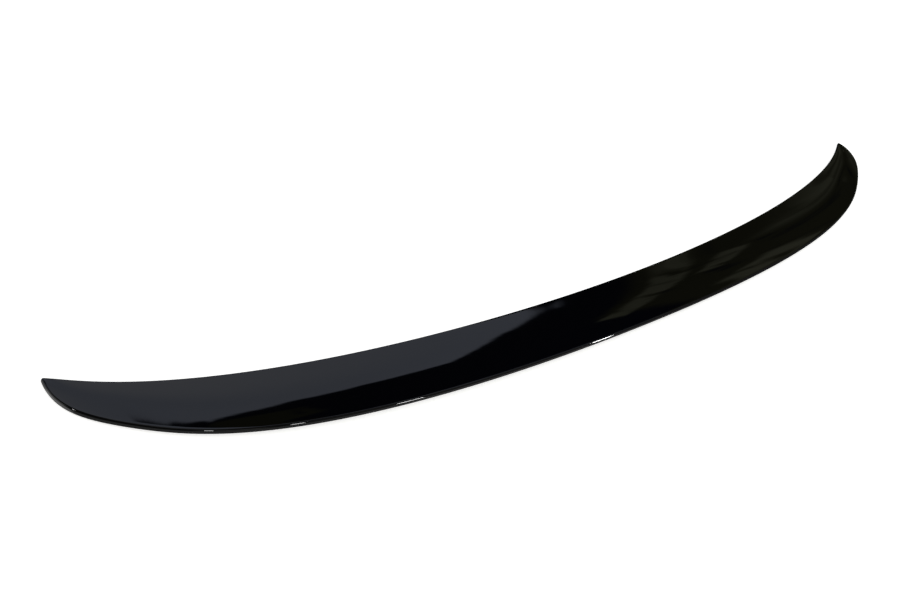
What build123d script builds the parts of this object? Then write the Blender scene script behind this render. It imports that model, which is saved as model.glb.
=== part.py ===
from build123d import *
from math import cos, radians, sin, tan
import os

# Boot-lid lip spoiler: one moulding, lying on its bonding face.
# X runs across the car, +Y forward and +Z up. The origin is under the middle of its box.
# Sizes are millimetres and degrees.

# Plan of the front edge, from the middle to a tip
half_width = 600.0
front_sag = 94.0
front_flat = 227.0
front_tip_reach = 123.0
front_tip_angle = 34.0

# Plan of the lip edge, from the middle to a tip
lip_depth = 165.0
lip_flat = 628.0
lip_shoulder_out = 474.0
lip_shoulder_depth = 50.0
lip_tip_reach = 90.0
lip_tip_angle = 96.0

# Cross-section at the middle: thin front edge, concave upper skin, lip with an undercut face below it
front_edge = 2.0
front_radius = 0.8
front_slope = 3.0
front_handle = 24.0
lip_lift = 7.0
lip_band = 6.0
lip_radius = 1.5
lip_slope = 17.0
lip_handle = 30.0
undercut = 10.0

# Tips: the section fades to an even thickness, and thins at the very end,
# which is flat between the roundings of the two edges
tip_thickness = 5.5
end_thickness = 2.5
tip_flat = 0.2
fade_power = 4
end_power = 60

# Hollow underside between the two bonding lands, with cross ribs that stop short of them
wall = 2.8
front_land = 28.0
rear_land = 5.0
channel_margin = 160.0
rib_thickness = 2.0
rib_pitch = 68.0
rib_recess = 0.8

# Cross-sections from the middle to a tip, and how far each reaches below the bonding face
half_stations = 8
channel_stations = 5
sink = 5.0


def tip_handle(reach, angle):
    """Point that draws an edge into the tip at an angle to the car's width."""
    return (half_width - reach * cos(radians(angle)), -reach * sin(radians(angle)))


front_plan = Bezier(
    (0, -front_sag),
    (front_flat, -front_sag),
    tip_handle(front_tip_reach, front_tip_angle),
    (half_width, 0),
)
lip_plan = Bezier(
    (0, -lip_depth),
    (lip_flat, -lip_depth),
    (lip_shoulder_out, -lip_shoulder_depth),
    tip_handle(lip_tip_reach, lip_tip_angle),
    (half_width, 0),
)


class Station:
    """Cross-section at a share of the way along the edges, from the middle (0) to a tip (1 or -1)."""

    def __init__(self, share):
        side = -1 if share < 0 else 1
        front = front_plan @ abs(share)
        along = lip_plan @ abs(share) - front
        across = Vector(along.X * side, along.Y)
        self.plane = Plane((front.X * side, front.Y), x_dir=across, z_dir=across.cross(Vector(0, 0, 1)))
        self.chord = along.length
        fade = 1 - abs(share) ** fade_power
        tip = tip_thickness - (tip_thickness - end_thickness) * abs(share) ** end_power
        self.lift = lip_lift * fade
        self.top = self.lift + tip + (lip_band - tip_thickness) * fade
        self.front = tip + (front_edge - tip_thickness) * fade
        self.foot = self.chord - undercut * fade
        self.front_angle = radians(front_slope) * fade
        self.lip_angle = radians(lip_slope) * fade
        # distances from the sharp front and lip corners to where their roundings start
        self.front_corner = front_radius / tan((radians(90) + self.front_angle) / 2)
        self.lip_corner = lip_radius / tan((radians(90) - self.lip_angle) / 2)

    def skin(self):
        """Concave upper line, from the rounding of the front edge to that of the lip."""
        front_run = Vector(cos(self.front_angle), sin(self.front_angle))
        lip_run = Vector(cos(self.lip_angle), sin(self.lip_angle))
        start = Vector(0, self.front) + front_run * self.front_corner
        end = Vector(self.chord, self.top) - lip_run * self.lip_corner
        pull = min(1, (end - start).length / (front_handle + lip_handle))
        return Bezier(start, start + front_run * front_handle * pull, end - lip_run * lip_handle * pull, end)

    def outer_section(self):
        """Outline of the whole moulding, carried down past the bonding face."""
        skin = self.skin()
        face_top = (0, self.front - self.front_corner)
        band_top = (self.chord, self.top - self.lip_corner)
        band_foot = (self.chord, self.lift)
        edges = [
            Line((0, -sink), face_top),
            TangentArc([face_top, skin @ 0], tangent=(0, 1)),
            skin,
            TangentArc([skin @ 1, band_top], tangent=skin % 1),
            Line(band_top, band_foot),
            Line(band_foot, (self.foot, 0)),
            Line((self.foot, 0), (self.foot, -sink)),
            Line((self.foot, -sink), (0, -sink)),
        ]
        return self.plane * make_face(edges)

    def channel_section(self):
        """Outline of the hollow: the upper skin set down by the wall, between the two lands."""
        skin = self.skin()
        rear = self.foot - rear_land
        roof = Pos(0, -wall) * skin.trim(front_land / self.chord, rear / self.chord)
        front_foot = Vector((roof @ 0).X, -sink)
        rear_foot = Vector((roof @ 1).X, -sink)
        edges = [
            Line(front_foot, roof @ 0),
            roof,
            Line(roof @ 1, rear_foot),
            Line(rear_foot, front_foot),
        ]
        return self.plane * make_face(edges)

    def rib(self):
        """Plate that crosses the hollow here and stops short of the bonding face."""
        height = self.top - rib_recess
        plate = Box(self.chord, height, rib_thickness)
        return self.plane * Pos(self.chord / 2, rib_recess + height / 2) * plate


def spread(reach, count):
    """Shares from one end to the other, closer together toward the ends."""
    return [reach * sin(radians(90) * k / count) for k in range(-count, count + 1)]


def tip_share():
    """Share of the way along at which the two edges leave room for their roundings and the flat end."""
    tip_chord = front_radius + tip_flat + lip_radius
    low, high = 0.5, 1.0
    for _ in range(20):
        middle = (low + high) / 2
        if (front_plan @ middle - lip_plan @ middle).length > tip_chord:
            low = middle
        else:
            high = middle
    return low


def make_channel():
    """Hollow of the underside, parted by the cross ribs except for a slit below them."""
    reach = 1 - channel_margin / front_plan.length
    channel = loft([Station(share).channel_section() for share in spread(reach, channel_stations)])
    ribs_each_side = int(reach * front_plan.length / rib_pitch)
    for k in range(-ribs_each_side, ribs_each_side + 1):
        channel -= Station(k * rib_pitch / front_plan.length).rib()
    return channel


def make_spoiler():
    outer = loft([Station(share).outer_section() for share in spread(tip_share(), half_stations)])
    body = split(outer, bisect_by=Plane.XY, keep=Keep.TOP)
    return body - make_channel()


spoiler = make_spoiler()
box = spoiler.bounding_box()
spoiler = Pos(0, -box.center().Y) * spoiler

os.makedirs("parts", exist_ok=True)
export_step(spoiler, "parts/lip_spoiler.step")
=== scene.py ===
"""Gloss black boot-lid lip spoiler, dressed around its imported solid."""

import math
from bisect import bisect
from itertools import accumulate

import bmesh
import bpy
from mathutils import Matrix, Vector


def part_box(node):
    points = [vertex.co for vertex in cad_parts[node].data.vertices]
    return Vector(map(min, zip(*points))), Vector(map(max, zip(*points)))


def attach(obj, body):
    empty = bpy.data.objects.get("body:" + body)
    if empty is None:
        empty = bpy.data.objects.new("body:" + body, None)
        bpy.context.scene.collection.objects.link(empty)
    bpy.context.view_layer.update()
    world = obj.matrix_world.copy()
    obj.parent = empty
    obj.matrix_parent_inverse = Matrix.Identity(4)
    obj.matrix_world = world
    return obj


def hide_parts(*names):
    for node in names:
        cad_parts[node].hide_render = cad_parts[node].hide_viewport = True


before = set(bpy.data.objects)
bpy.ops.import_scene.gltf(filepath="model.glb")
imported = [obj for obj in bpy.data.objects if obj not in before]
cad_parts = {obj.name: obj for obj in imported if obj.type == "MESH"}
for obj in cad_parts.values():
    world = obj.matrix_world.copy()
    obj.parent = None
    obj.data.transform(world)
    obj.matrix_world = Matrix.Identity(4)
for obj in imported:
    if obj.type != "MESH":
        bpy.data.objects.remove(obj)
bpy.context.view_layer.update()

bl_info = {
    "name": "Lip spoiler",
    "version": (1, 0, 0),
    "blender": (4, 5, 0),
    "location": "3D View > Sidebar > Spoiler",
    "description": "Builds a gloss black boot-lid lip spoiler and the studio it is shown in",
    "category": "Object",
}

# The frame is in metres, and sizes are written in millimetres
MM = 0.001
NODE = "lip_spoiler"
BODY = "root"


def linear(hex_colour):
    """Linear RGB of an sRGB hex colour."""
    channels = [int(hex_colour[k : k + 2], 16) / 255 for k in (1, 3, 5)]
    return [c / 12.92 if c <= 0.04045 else ((c + 0.055) / 1.055) ** 2.4 for c in channels]


def length(label, words, millimetres):
    """Length property, with its default given in millimetres."""
    default = millimetres * MM
    return bpy.props.FloatProperty(name=label, description=words, default=default, unit="LENGTH")


def angle(label, words, degrees):
    """Angle property, with its default given in degrees."""
    default = math.radians(degrees)
    return bpy.props.FloatProperty(name=label, description=words, default=default, unit="ROTATION")


def colour(label, words, hex_colour):
    """Colour property, with its default given as an sRGB hex value."""
    default = linear(hex_colour)
    return bpy.props.FloatVectorProperty(
        name=label, description=words, default=default, size=3, subtype="COLOR", min=0, max=1
    )


def position(label, words, *millimetres):
    """Position property, with its default given in millimetres."""
    default = [m * MM for m in millimetres]
    return bpy.props.FloatVectorProperty(
        name=label, description=words, default=default, size=3, subtype="TRANSLATION"
    )


class SpoilerPlan(bpy.types.PropertyGroup):
    """Front edge and lip edge seen from above, from the middle to a tip."""

    half_width: length("Half width", "Middle of the spoiler to a tip", 600)
    front_sag: length("Front sag", "How far the middle of the front edge lies behind the tips", 94)
    front_flat: length("Front flat", "Pull of the nearly straight middle of the front edge", 227)
    front_tip_reach: length("Front tip reach", "Pull of the front edge's end at the tip", 123)
    front_tip_angle: angle("Front tip angle", "Direction of the front edge at the tip", 34)
    lip_depth: length("Lip depth", "How far the middle of the lip lies behind the tips", 165)
    lip_flat: length("Lip flat", "Pull of the nearly straight middle of the lip", 628)
    lip_shoulder_out: length("Shoulder out", "Place of the lip's shoulder across the car", 474)
    lip_shoulder_depth: length("Shoulder depth", "Place of the lip's shoulder behind the tips", 50)
    lip_tip_reach: length("Lip tip reach", "Pull of the lip's end at the tip", 90)
    lip_tip_angle: angle("Lip tip angle", "Direction of the lip at the tip", 96)


class SpoilerSection(bpy.types.PropertyGroup):
    """Cross-section at the middle, and how it fades toward the tips."""

    front_edge: length("Front edge", "Thickness of the front edge", 2)
    front_radius: length("Front radius", "Rounding of the front edge", 0.8)
    front_slope: angle("Front slope", "Rise of the upper skin at the front edge", 3)
    front_handle: length("Front handle", "Length over which the front slope holds", 24)
    lip_lift: length("Lip lift", "Height of the lip's lower edge", 7)
    lip_band: length("Lip band", "Height of the lip's rear face", 6)
    lip_radius: length("Lip radius", "Rounding of the lip's upper edge", 1.5)
    lip_lower_radius: length("Lip lower radius", "Rounding of the lip's lower edge", 0.3)
    lip_slope: angle("Lip slope", "Rise of the upper skin at the lip", 17)
    lip_handle: length("Lip handle", "Length over which the lip slope holds", 30)
    undercut: length("Undercut", "How far the lip overhangs the rear land", 10)
    tip_thickness: length("Tip thickness", "Thickness toward the tips", 5.5)
    end_thickness: length("End thickness", "Thickness at the very end of each tip", 2.5)
    tip_flat: length("Tip flat", "Width between the roundings at the end of each tip", 0.2)
    fade_power: bpy.props.IntProperty(
        name="Fade power", description="How late the section fades on its way to a tip", default=4, min=1
    )
    end_power: bpy.props.IntProperty(
        name="End power", description="How late the tip thins on its way to its end", default=60, min=1
    )


class SpoilerUnderside(bpy.types.PropertyGroup):
    """Bonding lands, the hollow between them and its cross ribs."""

    wall: length("Wall", "Thickness of the skin over the hollow", 2.8)
    front_land: length("Front land", "Width of the front bonding land", 28)
    rear_land: length("Rear land", "Width of the rear bonding land", 5)
    channel_margin: length("Channel margin", "Solid length of front edge from the hollow to a tip", 160)
    rib_thickness: length("Rib thickness", "Thickness of a cross rib", 2)
    rib_pitch: length("Rib pitch", "Spacing of the cross ribs along the front edge", 68)
    rib_recess: length("Rib recess", "How far the ribs stop short of the bonding face", 0.8)


class SpoilerFinish(bpy.types.PropertyGroup):
    """Colours of the moulding, and sizes of the textures on it."""

    gloss_black: colour("Gloss black", "Colour of the polished faces", "#020202")
    haze_width: length("Haze width", "Width of the faint changes in the gloss", 60)
    wave_width: length("Wave width", "Width of the flow waves in the polished faces", 8)
    wave_depth: length("Wave depth", "Depth of the flow waves in the polished faces", 0.004)
    satin_black: colour("Satin black", "Colour of the underside as it leaves the mould", "#131315")
    cloud_width: length("Cloud width", "Width of the faint changes of tone on the underside", 45)
    grain_width: length("Grain width", "Width of the grain on the underside", 0.8)
    grain_depth: length("Grain depth", "Depth of the grain on the underside", 0.1)


class SpoilerStage(bpy.types.PropertyGroup):
    """Floor, light and camera."""

    floor_colour: colour("Floor", "Colour of the floor", "#f4f4f2")
    floor_glow: bpy.props.FloatProperty(
        name="Floor glow", description="Light that comes through the floor from below", default=0.7, min=0
    )
    floor_size: length("Floor size", "Side of the square floor", 24000)
    fibre_width: length("Fibre width", "Width of the faint flecks in the floor's paper", 3)
    backdrop_colour: colour("Backdrop", "Colour of the backdrop beyond the floor", "#ffffff")
    room_colour: colour("Room", "Colour of the dim room", "#373737")
    ceiling_colour: colour("Ceiling", "Colour of the soft light straight overhead", "#b8b8b8")
    screen_colour: colour("Screen", "Colour of the dim screen on the right", "#707070")
    wall_colour: colour("Dark wall", "Colour of the dark wall behind the light panels", "#101220")
    panel_low_colour: colour("Panels, low", "Colour of the light panels lower down", "#b9c0d2")
    panel_high_colour: colour("Panels, high", "Colour of the light panels higher up", "#d9dde8")
    shade_colour: colour("Shaded wall", "Colour of the paler parts of the dark wall", "#353527")
    card_colour: colour("Dim cards", "Colour of the dim cards before that wall", "#696a59")
    ground_colour: colour("Ground", "Colour that the gloss shows below the horizon", "#7a7a7a")
    board_colour: colour("Bright boards", "Colour of the bright boards on the left and behind", "#e0e0e0")
    ragged: angle("Ragged edges", "How far the edges in the room stray", 0.4)
    daylight: bpy.props.FloatProperty(
        name="Daylight", description="Strength of the even light from above", default=1.3, min=0
    )
    daylight_spread: angle("Daylight spread", "Angle from which the even light comes", 120)
    camera_target: position("Camera target", "Point that the camera aims at", -117.4, 86.9, -91.8)
    camera_azimuth: angle("Camera azimuth", "Camera's turn about the spoiler, from behind it", -53.24)
    camera_elevation: angle("Camera elevation", "Camera's height above the horizon", 45)
    camera_roll: angle("Camera roll", "Tilt of the camera about its own axis", 25.38)
    camera_distance: length("Camera distance", "Camera to the point it aims at", 1189.2)
    lens: bpy.props.FloatProperty(
        name="Lens", description="Focal length on a 36 mm wide sensor", default=40, unit="CAMERA"
    )


def bezier(points, t):
    """Point of a Bezier curve at a parameter, by repeated blending of its control points."""
    while len(points) > 1:
        points = [a.lerp(b, t) for a, b in zip(points, points[1:])]
    return points[0]


def bezier_run(points, count):
    """Points along a Bezier curve, both ends included."""
    return [bezier(points, k / count) for k in range(count + 1)]


def arc_run(centre, radius, start, end, count):
    """Points along an arc, both ends included."""
    turns = [start + (end - start) * k / count for k in range(count + 1)]
    return [centre + radius * Vector((math.cos(a), math.sin(a))) for a in turns]


def straight_run(start, end, count):
    """Points along a straight line, both ends included."""
    return [start.lerp(end, k / count) for k in range(count + 1)]


def run_lengths(points):
    """Length of a run of points up to each of them."""
    return list(accumulate(((b - a).length for a, b in zip(points, points[1:])), initial=0.0))


def run_point(points, share):
    """Point at a share of the length of a run of points."""
    lengths = run_lengths(points)
    target = share * lengths[-1]
    k = min(max(bisect(lengths, target), 1), len(points) - 1)
    return points[k - 1].lerp(points[k], (target - lengths[k - 1]) / (lengths[k] - lengths[k - 1]))


def run_height(points, distance):
    """Height of a run of points at a distance behind the front edge."""
    k = min(max(bisect([p.x for p in points], distance), 1), len(points) - 1)
    a, b = points[k - 1], points[k]
    return a.y + (b.y - a.y) * (distance - a.x) / (b.x - a.x)


class PlanEdge:
    """Plan curve from the middle to a tip, measured by share of its length."""

    STEPS = 1000

    def __init__(self, *points):
        self.points = [Vector(p) for p in points]
        self.lengths = run_lengths(bezier_run(self.points, self.STEPS))
        self.length = self.lengths[-1]

    def at(self, share):
        """Point at a share of the way along."""
        target = share * self.length
        k = min(max(bisect(self.lengths, target), 1), self.STEPS)
        low, high = self.lengths[k - 1], self.lengths[k]
        return bezier(self.points, (k - 1 + (target - low) / (high - low)) / self.STEPS)


# Sections between the middle and a tip, and the part of a sine wave that draws them together at the tips
HALF_SECTIONS = 230
SECTION_SPREAD = math.radians(80)
# Halvings in the search for the end of a tip
TIP_HALVINGS = 20
# A plain section that lies nearer than this to a change in the underside would leave slivers
LEAST_GAP = 0.3 * MM


class SpoilerForm:
    """Plan curves of the moulding, and the shares along them where its sections change."""

    def __init__(self, plan, section, underside):
        self.section = section
        self.underside = underside
        tip = Vector((plan.half_width, 0))

        def tip_handle(reach, turn):
            return tip - reach * Vector((math.cos(turn), math.sin(turn)))

        self.front = PlanEdge(
            (0, -plan.front_sag),
            (plan.front_flat, -plan.front_sag),
            tip_handle(plan.front_tip_reach, plan.front_tip_angle),
            tip,
        )
        self.lip = PlanEdge(
            (0, -plan.lip_depth),
            (plan.lip_flat, -plan.lip_depth),
            (plan.lip_shoulder_out, -plan.lip_shoulder_depth),
            tip_handle(plan.lip_tip_reach, plan.lip_tip_angle),
            tip,
        )
        # the frame's origin is under the middle of the solid's box
        self.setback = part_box(NODE)[0].y + plan.lip_depth
        self.channel_reach = 1 - underside.channel_margin / self.front.length
        self.channel_foot = Station(self, self.channel_reach).foot

    def tip_share(self):
        """Share of the way along at which the edges leave room for their roundings and the flat end."""
        tip_chord = self.section.front_radius + self.section.tip_flat + self.section.lip_radius
        low, high = 0.5, 1.0
        for _ in range(TIP_HALVINGS):
            middle = (low + high) / 2
            if (self.front.at(middle) - self.lip.at(middle)).length > tip_chord:
                low = middle
            else:
                high = middle
        return low

    def underside_changes(self):
        """Shares at which the underside changes, each with its state before and after."""
        u = self.underside
        half_rib = u.rib_thickness / 2 / self.front.length
        ribs_each_side = int(self.channel_reach * self.front.length / u.rib_pitch)
        changes = [(-self.channel_reach, "solid", "end")]
        for k in range(-ribs_each_side, ribs_each_side + 1):
            rib = k * u.rib_pitch / self.front.length
            changes += [(rib - half_rib, "open", "rib"), (rib + half_rib, "rib", "open")]
        return changes + [(self.channel_reach, "end", "solid")]

    def stations(self):
        """Sections from tip to tip with the state of the underside, doubled where it changes."""
        turns = [SECTION_SPREAD * k / HALF_SECTIONS for k in range(-HALF_SECTIONS, HALF_SECTIONS + 1)]
        reach = self.tip_share()
        rows = [(reach * math.sin(a) / math.sin(SECTION_SPREAD), None, None) for a in turns]
        nearest = LEAST_GAP / self.front.length
        changes = self.underside_changes()
        rows = [r for r in rows if all(abs(r[0] - c[0]) > nearest for c in changes)]
        state = "solid"
        for share, before, after in sorted(rows + changes, key=lambda row: row[0]):
            station = Station(self, share)
            if before is None:
                yield station, state
            else:
                yield station, before
                yield station, after
                state = "open" if after == "end" else after


# Steps along each run of a section's outline
FACE_STEPS = 3
FRONT_ROUND_STEPS = 6
SKIN_STEPS = 48
LIP_ROUND_STEPS = 10
BAND_STEPS = 3
LOWER_ROUND_STEPS = 6
UNDERCUT_STEPS = 4
REAR_LAND_STEPS = 2
ROOF_STEPS = 12
FRONT_LAND_STEPS = 4


class Station:
    """Cross-section at a share of the way along, from the middle (0) to a tip (1 or -1)."""

    def __init__(self, form, share):
        self.form = form
        self.share = share
        s = form.section
        side = -1 if share < 0 else 1
        front, lip = form.front.at(abs(share)), form.lip.at(abs(share))
        self.origin = Vector((front.x * side, front.y))
        across = Vector(((lip.x - front.x) * side, lip.y - front.y))
        self.chord = across.length
        self.across = across / self.chord
        fade = 1 - abs(share) ** s.fade_power
        tip = s.tip_thickness - (s.tip_thickness - s.end_thickness) * abs(share) ** s.end_power
        self.lift = s.lip_lift * fade
        self.top = self.lift + tip + (s.lip_band - s.tip_thickness) * fade
        self.front = tip + (s.front_edge - s.tip_thickness) * fade
        self.foot = self.chord - s.undercut * fade
        self.lower_radius = s.lip_lower_radius * fade
        self.front_angle = s.front_slope * fade
        self.lip_angle = s.lip_slope * fade
        # distances from the sharp front and lip corners to where their roundings start
        self.front_corner = s.front_radius / math.tan((math.pi / 2 + self.front_angle) / 2)
        self.lip_corner = s.lip_radius / math.tan((math.pi / 2 - self.lip_angle) / 2)

    def skin(self):
        """Concave upper line, from the rounding of the front edge to that of the lip."""
        s = self.form.section
        front_run = Vector((math.cos(self.front_angle), math.sin(self.front_angle)))
        lip_run = Vector((math.cos(self.lip_angle), math.sin(self.lip_angle)))
        start = Vector((0, self.front)) + front_run * self.front_corner
        end = Vector((self.chord, self.top)) - lip_run * self.lip_corner
        pull = min(1, (end - start).length / (s.front_handle + s.lip_handle))
        front_pull = start + front_run * s.front_handle * pull
        lip_pull = end - lip_run * s.lip_handle * pull
        return bezier_run([start, front_pull, lip_pull, end], SKIN_STEPS)

    def polished_outline(self):
        """Outline of the faces that show once it is bonded on: front face, upper skin, lip and undercut."""
        s = self.form.section
        face_top = Vector((0, self.front - self.front_corner))
        band_top = Vector((self.chord, self.top - self.lip_corner))
        foot = Vector((self.foot, 0))
        overhang = math.atan2(self.chord - self.foot, self.lift)
        lower_centre = Vector(
            (self.chord - self.lower_radius, self.lift + self.lower_radius * math.tan(overhang / 2))
        )
        front_centre = face_top + Vector((s.front_radius, 0))
        lip_centre = band_top - Vector((s.lip_radius, 0))
        front_turn = math.pi / 2 + self.front_angle
        lip_turn = math.pi / 2 + self.lip_angle
        lower_arc = arc_run(lower_centre, self.lower_radius, 0, -overhang, LOWER_ROUND_STEPS)
        runs = [
            straight_run(Vector((0, 0)), face_top, FACE_STEPS),
            arc_run(front_centre, s.front_radius, math.pi, front_turn, FRONT_ROUND_STEPS),
            self.skin(),
            arc_run(lip_centre, s.lip_radius, lip_turn, 0, LIP_ROUND_STEPS),
            straight_run(band_top, lower_arc[0], BAND_STEPS),
            lower_arc,
            straight_run(lower_arc[-1], foot, UNDERCUT_STEPS),
        ]
        return [p for run in runs for p in run]

    def underside_outline(self, state):
        """Rear land, hollow and front land. Where the moulding is solid, the hollow has no depth."""
        u = self.form.underside
        # beyond the hollow the lands narrow with the section
        beyond = abs(self.share) > self.form.channel_reach
        squeeze = self.foot / self.form.channel_foot if beyond else 1
        skin = self.skin()
        rear = Vector((run_point(skin, (self.foot - u.rear_land * squeeze) / self.chord).x, 0))
        front = Vector((run_point(skin, u.front_land * squeeze / self.chord).x, 0))
        roof = straight_run(rear, front, ROOF_STEPS)
        if state in ("open", "end"):
            roof = [Vector((p.x, run_height(skin, p.x) - u.wall)) for p in roof]
        elif state == "rib":
            roof = [Vector((p.x, u.rib_recess)) for p in roof]
        # the hollow's side walls have a corner where the ribs start, but not at its ends
        corner = Vector((0, u.rib_recess if state in ("open", "rib") else 0))
        rear_land = straight_run(Vector((self.foot, 0)), rear, REAR_LAND_STEPS)
        front_land = straight_run(front, Vector((0, 0)), FRONT_LAND_STEPS)
        return [*rear_land, rear + corner, *roof, front + corner, *front_land]

    def place(self, point):
        """Point of the section in the spoiler's own frame."""
        plan = self.origin + self.across * point.x
        return Vector((plan.x, plan.y + self.form.setback, point.y))


def add_node(tree, kind, inputs=None, **settings):
    """Adds a node with its settings. Each input gets a value, an output or a node's first output."""
    node = tree.nodes.new(kind)
    for name, value in settings.items():
        setattr(node, name, value)
    for name, value in (inputs or {}).items():
        if isinstance(value, bpy.types.Node):
            value = value.outputs[0]
        if isinstance(value, bpy.types.NodeSocket):
            tree.links.new(value, node.inputs[name])
        else:
            node.inputs[name].default_value = value
    return node


def new_material(name):
    """Material with an empty node tree."""
    material = bpy.data.materials.new(name)
    material.use_nodes = True
    material.node_tree.nodes.clear()
    return material


# Typical refractive index of ABS
ABS_IOR = 1.53


def gloss_black_abs(finish):
    """Injection-moulded ABS from a polished mould: deep black, mirror gloss, a trace of flow waviness."""
    material = new_material("Polished moulded black ABS")
    tree = material.node_tree
    spot = add_node(tree, "ShaderNodeTexCoord").outputs["Object"]
    haze_scale = 1 / finish.haze_width
    haze = add_node(tree, "ShaderNodeTexNoise", {"Vector": spot, "Scale": haze_scale, "Detail": 3})
    gloss = add_node(tree, "ShaderNodeMapRange", {"Value": haze, "To Min": 0.01, "To Max": 0.05})
    wave_scale = 1 / finish.wave_width
    wave = add_node(tree, "ShaderNodeTexNoise", {"Vector": spot, "Scale": wave_scale, "Detail": 2})
    bump = add_node(
        tree,
        "ShaderNodeBump",
        {"Height": wave, "Strength": 0.5, "Distance": finish.wave_depth},
    )
    black = (*finish.gloss_black, 1)
    shader = add_node(
        tree,
        "ShaderNodeBsdfPrincipled",
        {"Base Color": black, "IOR": ABS_IOR, "Roughness": gloss, "Normal": bump},
    )
    add_node(tree, "ShaderNodeOutputMaterial", {"Surface": shader})
    return material


def satin_black_abs(finish):
    """The same ABS from an eroded mould face: fine even grain and a soft sheen."""
    material = new_material("Satin moulded black ABS")
    tree = material.node_tree
    spot = add_node(tree, "ShaderNodeTexCoord").outputs["Object"]
    cloud_scale = 1 / finish.cloud_width
    cloud = add_node(tree, "ShaderNodeTexNoise", {"Vector": spot, "Scale": cloud_scale, "Detail": 3})
    tone = add_node(tree, "ShaderNodeValToRGB", {"Fac": cloud})
    darker, paler = 0.8, 1.25
    for element, share in zip(tone.color_ramp.elements, (darker, paler)):
        element.color = (*[c * share for c in finish.satin_black], 1)
    sheen = add_node(tree, "ShaderNodeMapRange", {"Value": cloud, "To Min": 0.38, "To Max": 0.56})
    # real erosion grain is near 0.1 mm wide; it is drawn coarser so that it shows
    grain_scale = 1 / finish.grain_width
    grain = add_node(tree, "ShaderNodeTexNoise", {"Vector": spot, "Scale": grain_scale, "Detail": 2})
    bump = add_node(
        tree,
        "ShaderNodeBump",
        {"Height": grain, "Strength": 0.35, "Distance": finish.grain_depth},
    )
    shader = add_node(
        tree,
        "ShaderNodeBsdfPrincipled",
        {"Base Color": tone, "IOR": ABS_IOR, "Roughness": sheen, "Normal": bump},
    )
    add_node(tree, "ShaderNodeOutputMaterial", {"Surface": shader})
    return material


def background_paper(stage):
    """Seamless background paper, calendered matt: pale, even, with no gloss."""
    material = new_material("Pale background paper")
    tree = material.node_tree
    spot = add_node(tree, "ShaderNodeTexCoord").outputs["Object"]
    fibre_scale = 1 / stage.fibre_width
    fibre = add_node(tree, "ShaderNodeTexNoise", {"Vector": spot, "Scale": fibre_scale, "Detail": 4})
    tone = add_node(tree, "ShaderNodeValToRGB", {"Fac": fibre})
    darker, paler = 0.99, 1
    for element, share in zip(tone.color_ramp.elements, (darker, paler)):
        element.color = (*[c * share for c in stage.floor_colour], 1)
    shader = add_node(
        tree,
        "ShaderNodeBsdfPrincipled",
        {
            "Base Color": tone,
            "Roughness": 0.95,
            "Specular IOR Level": 0.1,
            # lit from below, as on a light table, so that shadows stay faint
            "Emission Color": (*stage.floor_colour, 1),
            "Emission Strength": stage.floor_glow,
        },
    )
    add_node(tree, "ShaderNodeOutputMaterial", {"Surface": shader})
    return material


def backdrop_cloth(stage):
    """White cloth lit so evenly that no weave or fold shows."""
    material = new_material("Lit backdrop cloth")
    tree = material.node_tree
    glow = add_node(tree, "ShaderNodeEmission", {"Color": (*stage.backdrop_colour, 1)})
    add_node(tree, "ShaderNodeOutputMaterial", {"Surface": glow})
    return material


# Points of the mesh that lie closer than this are joined
MERGE_DISTANCE = 0.0005 * MM
# Faces that meet at more than this angle keep a sharp edge
SHARP_ANGLE = math.radians(32)


def moulding_mesh(form):
    """Closed mesh of the whole moulding, lofted from tip to tip through its cross-sections."""
    work = bmesh.new()
    rings = []
    for station, state in form.stations():
        outline = station.polished_outline()
        polished_count = len(outline)
        outline += station.underside_outline(state)
        rings.append([work.verts.new(station.place(p)) for p in outline])
    for near, far in zip(rings, rings[1:]):
        for k in range(len(near)):
            following = (k + 1) % len(near)
            face = work.faces.new((near[k], near[following], far[following], far[k]))
            # the first material is the polished one, the second the satin one
            face.material_index = 0 if k < polished_count else 1
    work.faces.new(rings[0])
    work.faces.new(reversed(rings[-1]))
    bmesh.ops.remove_doubles(work, verts=work.verts, dist=MERGE_DISTANCE)
    bmesh.ops.recalc_face_normals(work, faces=work.faces)
    for face in work.faces:
        face.smooth = True
    mesh = bpy.data.meshes.new("lip_moulding")
    work.to_mesh(mesh)
    work.free()
    mesh.set_sharp_from_angle(angle=SHARP_ANGLE)
    return mesh


class SPOILER_OT_moulding(bpy.types.Operator):
    """Build the one-piece moulding with its lip, undercut, bonding lands and ribs"""

    bl_idname = "spoiler.moulding"
    bl_label = "Lip moulding"

    def execute(self, context):
        scene = context.scene
        form = SpoilerForm(scene.spoiler_plan, scene.spoiler_section, scene.spoiler_underside)
        mesh = moulding_mesh(form)
        mesh.materials.append(gloss_black_abs(scene.spoiler_finish))
        mesh.materials.append(satin_black_abs(scene.spoiler_finish))
        moulding = bpy.data.objects.new("lip_moulding", mesh)
        scene.collection.objects.link(moulding)
        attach(moulding, BODY)
        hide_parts(NODE)
        return {"FINISHED"}


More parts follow.
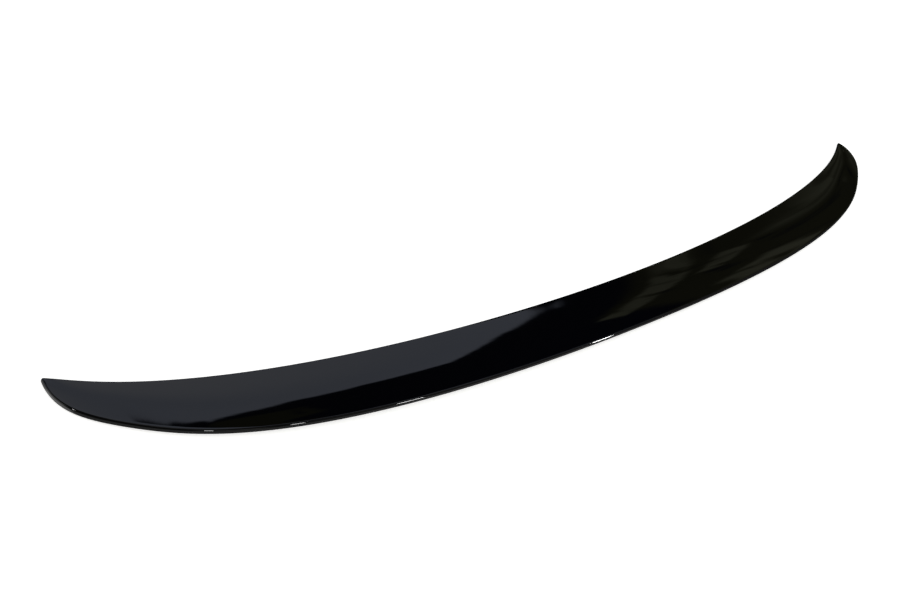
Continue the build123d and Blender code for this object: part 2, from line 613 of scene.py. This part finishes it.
# Parts of the room, each over those before it: left, right, bottom and top in degrees, rise per degree of
# turn, edge blur in degrees, and colour. Turns go rightward from +Y, and heights are from the horizon.
ROOM = (
    (-200, 200, -120, -38, 0, 5, "ground"),
    (-200, 200, 80, 120, 0, 5, "ceiling"),
    (75, 172, 10, 64, 0, 6, "screen"),
    (-95, -33, -60, 37, 0, 6, "board"),
    (-177, -160, -8, 14, 0, 3, "board"),
    (5, 85, -38, 60, 0, 3, "wall"),
    (51.5, 85, -10, 41.5, 0.64, 0.8, "shade"),
    (50.5, 65, 30.8, 33.4, 0.56, 0.4, "card"),
    (58.8, 63.2, 29.5, 31.3, 0.4, 0.3, "card"),
    (54, 58, 19, 24, 0.4, 0.5, "card"),
    (65, 82, 18, 30, 0, 1.5, "card"),
    (30.8, 34.5, 30, 34.2, 0, 0.3, "shade"),
    (-50, 2, 22, 43, 0, 1, "panel"),
    (11, 27.3, 5, 52, 0, 1, "panel"),
    (22, 80, 39.9, 58, 0, 0.4, "panel"),
)
# Colours of the room that the stage gives; the panels go from their low to their high colour
ROOM_COLOURS = (
    "room",
    "ground",
    "ceiling",
    "screen",
    "board",
    "wall",
    "shade",
    "card",
    "panel_low",
    "panel_high",
)
# Turns between which the edges of the panels rise, and by how much, in degrees
SLOPES = (
    (28.6, 31.2, -5.1),
    (31.2, 35.5, 3.4),
    (40, 44.7, -1.7),
    (44.7, 51.5, 3.4),
    (55.2, 56.6, -0.6),
)
# Heights between which the panels brighten, in degrees
PANEL_FADE = (40, 54)
# Patchy colours: each with the one in its gaps, and the noise levels between which it takes over
PATCHY = (("card", "shade", 0.34, 0.54), ("shade", "wall", 0.26, 0.44))
# Width and height of those patches, in degrees
PATCH = (1.6, 5)
# Noise scale on the unit sphere of directions: edges stray in ripples about one degree wide
EDGE_NOISE = 60


def ragged_directions(tree, stage):
    """Turn and height of each direction in degrees, as X and Y, strayed by a small noise."""
    way = add_node(tree, "ShaderNodeTexCoord").outputs["Generated"]
    axes = add_node(tree, "ShaderNodeSeparateXYZ", {"Vector": way}).outputs
    turn = add_node(tree, "ShaderNodeMath", {0: axes["X"], 1: axes["Y"]}, operation="ARCTAN2")
    height = add_node(tree, "ShaderNodeMath", {0: axes["Z"]}, operation="ARCSINE")
    true_place = add_node(tree, "ShaderNodeCombineXYZ", {"X": turn, "Y": height})
    # the noise is one half on average
    wave = add_node(tree, "ShaderNodeTexNoise", {"Vector": way, "Scale": EDGE_NOISE, "Detail": 3})
    stray = add_node(
        tree,
        "ShaderNodeVectorMath",
        {0: wave.outputs["Color"], 1: (0.5, 0.5, 0.5)},
        operation="SUBTRACT",
    )
    ragged_place = add_node(
        tree,
        "ShaderNodeVectorMath",
        {0: stray, 1: [2 * stage.ragged] * 3, 2: true_place},
        operation="MULTIPLY_ADD",
    )
    return add_node(
        tree,
        "ShaderNodeVectorMath",
        {0: ragged_place, "Scale": math.degrees(1)},
        operation="SCALE",
    )


def panel_level(tree, turn, height):
    """Height with the slopes of the panels' edges taken off."""
    level = height
    for start, end, rise in SLOPES:
        lift = add_node(
            tree,
            "ShaderNodeMapRange",
            {"Value": turn, "From Min": start, "From Max": end, "To Max": rise},
        )
        level = add_node(tree, "ShaderNodeMath", {0: level, 1: lift}, operation="SUBTRACT")
    return level


def room_paint(tree, stage, directions, height):
    """Colour of each kind of part in the room, some in patches, and the panels brighter higher up."""
    paint = {name: (*getattr(stage, name + "_colour"), 1) for name in ROOM_COLOURS}
    in_patches = add_node(
        tree,
        "ShaderNodeVectorMath",
        {0: directions, 1: (1 / PATCH[0], 1 / PATCH[1], 0)},
        operation="MULTIPLY",
    )
    mottle = add_node(tree, "ShaderNodeTexNoise", {"Vector": in_patches, "Scale": 1, "Detail": 4})
    for kind, gap, start, end in PATCHY:
        patches = add_node(
            tree,
            "ShaderNodeMapRange",
            {"Value": mottle, "From Min": start, "From Max": end},
            interpolation_type="SMOOTHSTEP",
        )
        paint[kind] = add_node(
            tree,
            "ShaderNodeMixRGB",
            {"Fac": patches, "Color1": paint[gap], "Color2": paint[kind]},
        )
    upward = add_node(
        tree,
        "ShaderNodeMapRange",
        {"Value": height, "From Min": PANEL_FADE[0], "From Max": PANEL_FADE[1]},
        interpolation_type="SMOOTHSTEP",
    )
    paint["panel"] = add_node(
        tree,
        "ShaderNodeMixRGB",
        {"Fac": upward, "Color1": paint["panel_low"], "Color2": paint["panel_high"]},
    )
    return paint


def studio_world(stage):
    """Room for the gloss to mirror: light panels ahead, dim cards on the right, ground and ceiling."""
    world = bpy.data.worlds.new("Studio")
    world.use_nodes = True
    tree = world.node_tree
    tree.nodes.clear()
    directions = ragged_directions(tree, stage)
    axes = add_node(tree, "ShaderNodeSeparateXYZ", {"Vector": directions}).outputs
    turn, height = axes["X"], axes["Y"]
    panel_height = panel_level(tree, turn, height)
    paint = room_paint(tree, stage, directions, height)
    seen = paint["room"]
    for left, right, bottom, top, tilt, blur, kind in ROOM:
        level = panel_height if kind == "panel" else height
        middle, half_width = (left + right) / 2, (right - left) / 2
        centre, half_height = (bottom + top) / 2, (top - bottom) / 2
        aside = add_node(tree, "ShaderNodeMath", {0: turn, 1: middle}, operation="SUBTRACT")
        above = add_node(tree, "ShaderNodeMath", {0: level, 1: centre}, operation="SUBTRACT")
        above = add_node(
            tree, "ShaderNodeMath", {0: aside, 1: -tilt, 2: above}, operation="MULTIPLY_ADD"
        )
        past = []
        for offset, half in ((aside, half_width), (above, half_height)):
            distance = add_node(tree, "ShaderNodeMath", {0: offset}, operation="ABSOLUTE")
            past.append(add_node(tree, "ShaderNodeMath", {0: distance, 1: half}, operation="SUBTRACT"))
        outside = add_node(tree, "ShaderNodeMath", {0: past[0], 1: past[1]}, operation="MAXIMUM")
        inside = add_node(
            tree,
            "ShaderNodeMapRange",
            {"Value": outside, "From Min": blur, "From Max": -blur},
            interpolation_type="SMOOTHSTEP",
        )
        seen = add_node(
            tree, "ShaderNodeMixRGB", {"Fac": inside, "Color1": seen, "Color2": paint[kind]}
        )
    glow = add_node(tree, "ShaderNodeBackground", {"Color": seen})
    add_node(tree, "ShaderNodeOutputWorld", {"Surface": glow})
    return world


# Faces of the backdrop's dome, round it and from pole to pole
DOME_SEGMENTS = 64
DOME_RINGS = 32
# Gap between the floor and the bonding face, so that the two don't flicker
FLOOR_GAP = 0.05 * MM


def add_backdrop(stage, scene):
    """Pale dome round the floor, which only the camera sees."""
    work = bmesh.new()
    radius = stage.floor_size / 2
    bmesh.ops.create_uvsphere(work, u_segments=DOME_SEGMENTS, v_segments=DOME_RINGS, radius=radius)
    mesh = bpy.data.meshes.new("backdrop")
    work.to_mesh(mesh)
    work.free()
    mesh.materials.append(backdrop_cloth(stage))
    backdrop = bpy.data.objects.new("backdrop", mesh)
    backdrop.visible_diffuse = False
    backdrop.visible_glossy = False
    backdrop.visible_shadow = False
    scene.collection.objects.link(backdrop)


def add_floor(stage, scene):
    """Square of background paper that the spoiler lies on."""
    half = stage.floor_size / 2
    corners = [(-half, -half, 0), (half, -half, 0), (half, half, 0), (-half, half, 0)]
    mesh = bpy.data.meshes.new("floor")
    mesh.from_pydata(corners, [], [(0, 1, 2, 3)])
    mesh.materials.append(background_paper(stage))
    floor = bpy.data.objects.new("floor", mesh)
    floor.location.z = -FLOOR_GAP
    # the gloss mirrors a darker ground than this pale paper
    floor.visible_glossy = False
    scene.collection.objects.link(floor)


# Strip lamps on the lip's side that glint on it: foot, head and width in mm, and power per square metre
LAMPS = {
    "tip_lamp": ((-3060, -540, 1500), (-2840, -500, 1900), 94, 142),
    "left_lamp": ((-1300, -2600, 60), (-1290, -2605, 700), 128, 72),
    "dim_lamp": ((-270, -2740, 60), (-245, -2740, 700), 130, 95),
    "middle_lamp": ((620, -2600, 60), (650, -2590, 700), 185, 115),
    "right_lamp": ((1680, -2135, 60), (1740, -2080, 700), 105, 330),
}


def add_lamps(scene):
    """Strip lamps from foot to head that face the spoiler."""
    for name, (foot, head, width, power) in LAMPS.items():
        upright = (Vector(head) - Vector(foot)) * MM
        middle = (Vector(head) + Vector(foot)) / 2 * MM
        light = bpy.data.lights.new(name, "AREA")
        light.shape = "RECTANGLE"
        light.size = width * MM
        light.size_y = upright.length
        light.energy = power * light.size * light.size_y
        lamp = bpy.data.objects.new(name, light)
        upright.normalize()
        level = upright.cross(middle).normalized()
        turn = Matrix((level, upright, level.cross(upright))).transposed().to_4x4()
        lamp.matrix_world = Matrix.Translation(middle) @ turn
        scene.collection.objects.link(lamp)


def add_daylight(stage, scene):
    """Even light from above, which whitens the floor and leaves no image in the gloss."""
    light = bpy.data.lights.new("daylight", "SUN")
    light.energy = stage.daylight
    light.angle = stage.daylight_spread
    lamp = bpy.data.objects.new("daylight", light)
    lamp.visible_glossy = False
    scene.collection.objects.link(lamp)


# Distance from which on the camera shows things
CLIP_START = 10 * MM


def add_camera(stage, scene):
    """Camera at the photograph's place, turn and tilt."""
    a, e, roll = stage.camera_azimuth, stage.camera_elevation, stage.camera_roll
    back = Vector((math.sin(a) * math.cos(e), -math.cos(a) * math.cos(e), math.sin(e)))
    level = Vector((math.cos(a), math.sin(a), 0))
    upright = back.cross(level)
    right = level * math.cos(roll) + upright * math.sin(roll)
    lens = bpy.data.cameras.new("camera")
    lens.lens = stage.lens
    lens.clip_start = CLIP_START
    camera = bpy.data.objects.new("camera", lens)
    turn = Matrix((right, back.cross(right), back)).transposed().to_4x4()
    eye = Vector(stage.camera_target) + back * stage.camera_distance
    camera.matrix_world = Matrix.Translation(eye) @ turn
    scene.collection.objects.link(camera)
    scene.camera = camera


class SPOILER_OT_stage(bpy.types.Operator):
    """Lay the floor, set the lights and place the camera"""

    bl_idname = "spoiler.stage"
    bl_label = "Studio stage"

    def execute(self, context):
        scene = context.scene
        stage = scene.spoiler_stage
        scene.world = studio_world(stage)
        add_floor(stage, scene)
        add_backdrop(stage, scene)
        add_lamps(scene)
        add_daylight(stage, scene)
        add_camera(stage, scene)
        scene.view_settings.view_transform = "Standard"
        return {"FINISHED"}


class SPOILER_PT_sidebar(bpy.types.Panel):
    """Sizes, colours and the steps that build the spoiler"""

    bl_label = "Lip spoiler"
    bl_space_type = "VIEW_3D"
    bl_region_type = "UI"
    bl_category = "Spoiler"

    def draw(self, context):
        for name in GROUPS:
            group = getattr(context.scene, name)
            box = self.layout.box()
            for field in group.__annotations__:
                box.prop(group, field)
        self.layout.operator("spoiler.moulding")
        self.layout.operator("spoiler.stage")


GROUPS = {
    "spoiler_plan": SpoilerPlan,
    "spoiler_section": SpoilerSection,
    "spoiler_underside": SpoilerUnderside,
    "spoiler_finish": SpoilerFinish,
    "spoiler_stage": SpoilerStage,
}
CLASSES = [*GROUPS.values(), SPOILER_OT_moulding, SPOILER_OT_stage, SPOILER_PT_sidebar]


def register():
    for item in CLASSES:
        bpy.utils.register_class(item)
    for name, group in GROUPS.items():
        setattr(bpy.types.Scene, name, bpy.props.PointerProperty(type=group))


def unregister():
    for name in GROUPS:
        delattr(bpy.types.Scene, name)
    for item in reversed(CLASSES):
        bpy.utils.unregister_class(item)


def main():
    register()
    bpy.ops.spoiler.moulding()
    bpy.ops.spoiler.stage()


if __name__ == "__main__":
    main()
